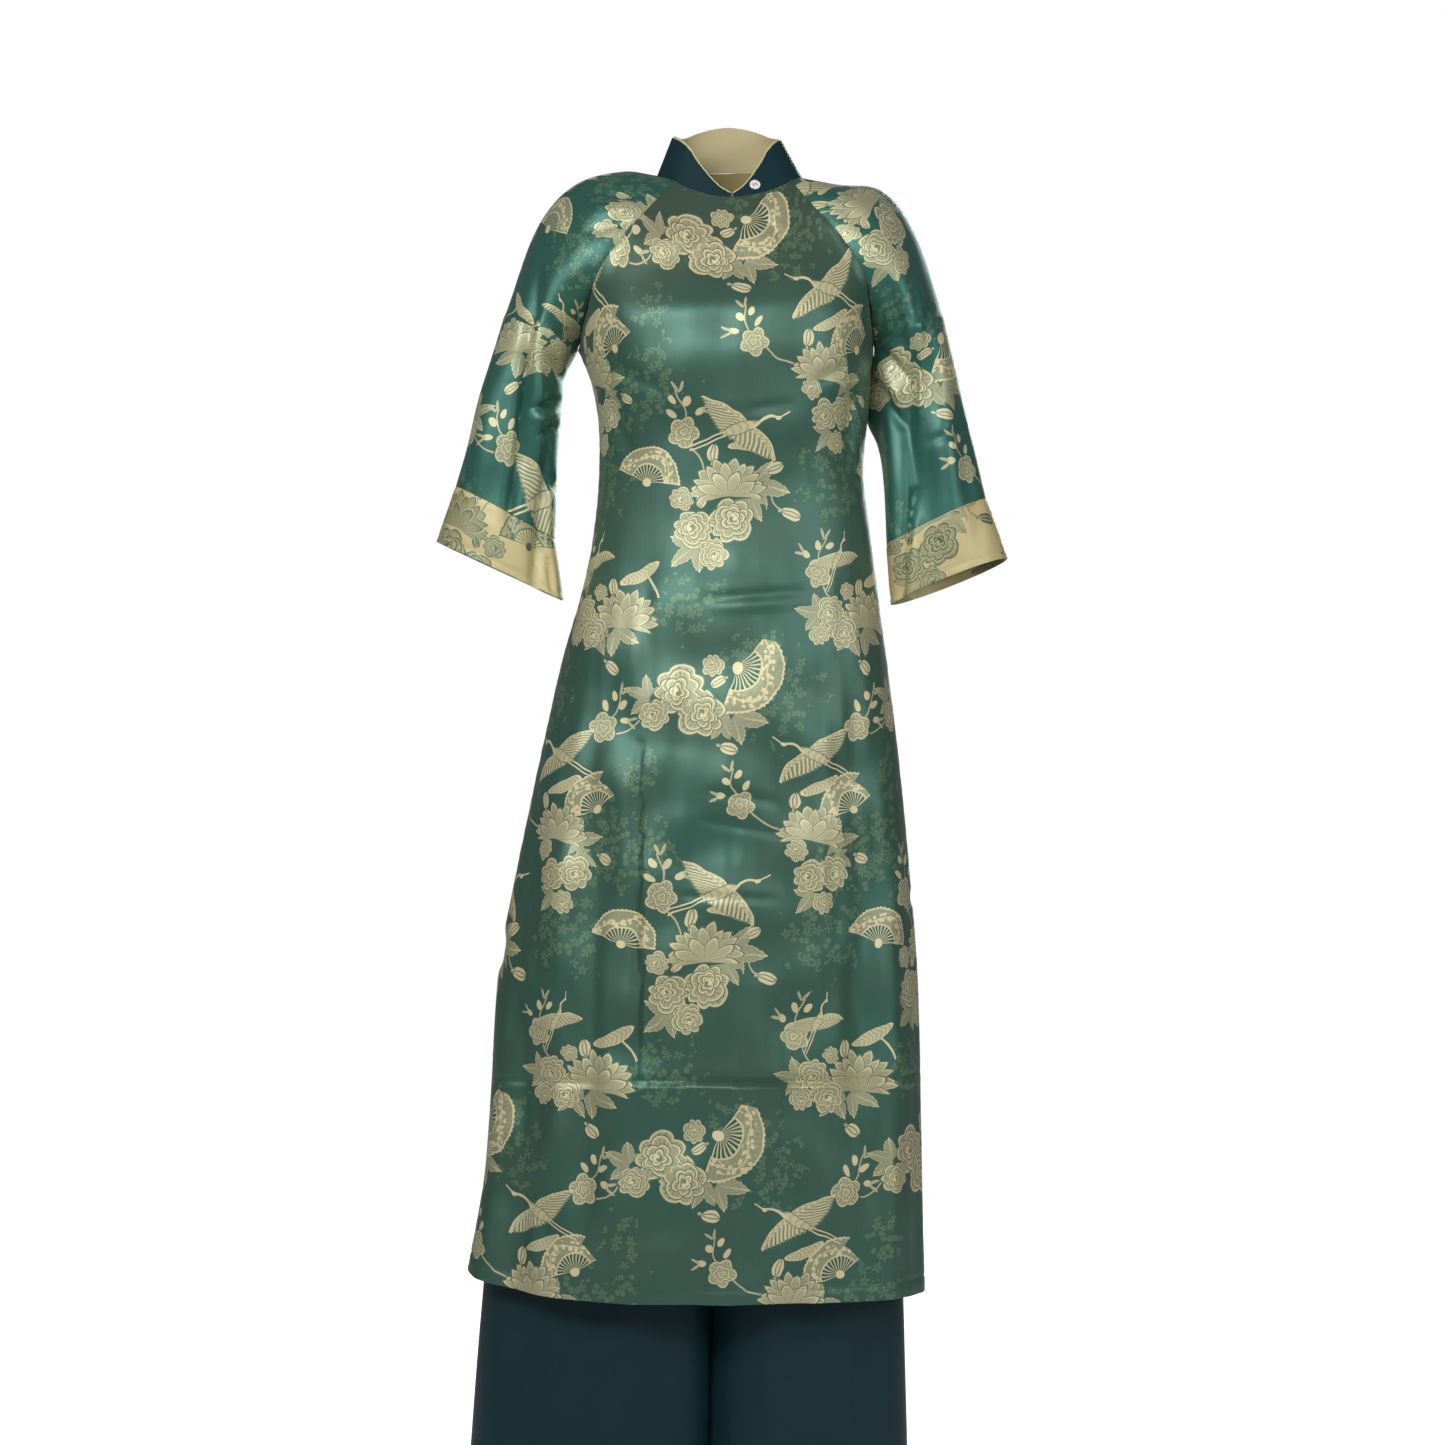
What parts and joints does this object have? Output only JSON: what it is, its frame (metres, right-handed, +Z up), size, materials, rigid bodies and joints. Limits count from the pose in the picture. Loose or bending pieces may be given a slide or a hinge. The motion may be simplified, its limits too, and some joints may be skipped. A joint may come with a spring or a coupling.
{
  "type": "ao dai tunic and trousers",
  "caption": "Long fitted brocade tunic with raglan sleeves, turned cuffs, stand collar and side slits, worn over wide satin trousers and held in its hollow worn shape.",
  "frame": {"origin": "middle of the neck seam at shoulder height, where the wearer's shoulders hold the garment up", "axes": "+Z up the wearer's body, -Y out of the chest, +X towards the wearer's left arm"},
  "size_m": [0.598, 0.2635, 1.4201],
  "materials": {
    "green_brocade": "satin",
    "brocade_reverse": "satin",
    "teal_satin": "satin",
    "white_button": "gloss"
  },
  "bodies": {
    "root": {"front_panel": "green_brocade", "back_panel": "green_brocade", "left_sleeve": "green_brocade", "right_sleeve": "green_brocade", "left_cuff": "brocade_reverse", "right_cuff": "brocade_reverse", "collar_band": "teal_satin", "collar_facing": "brocade_reverse", "collar_button": "white_button", "waistband": "teal_satin", "left_leg_front": "teal_satin", "left_leg_back": "teal_satin", "right_leg_front": "teal_satin", "right_leg_back": "teal_satin"}
  },
  "joints": []
}
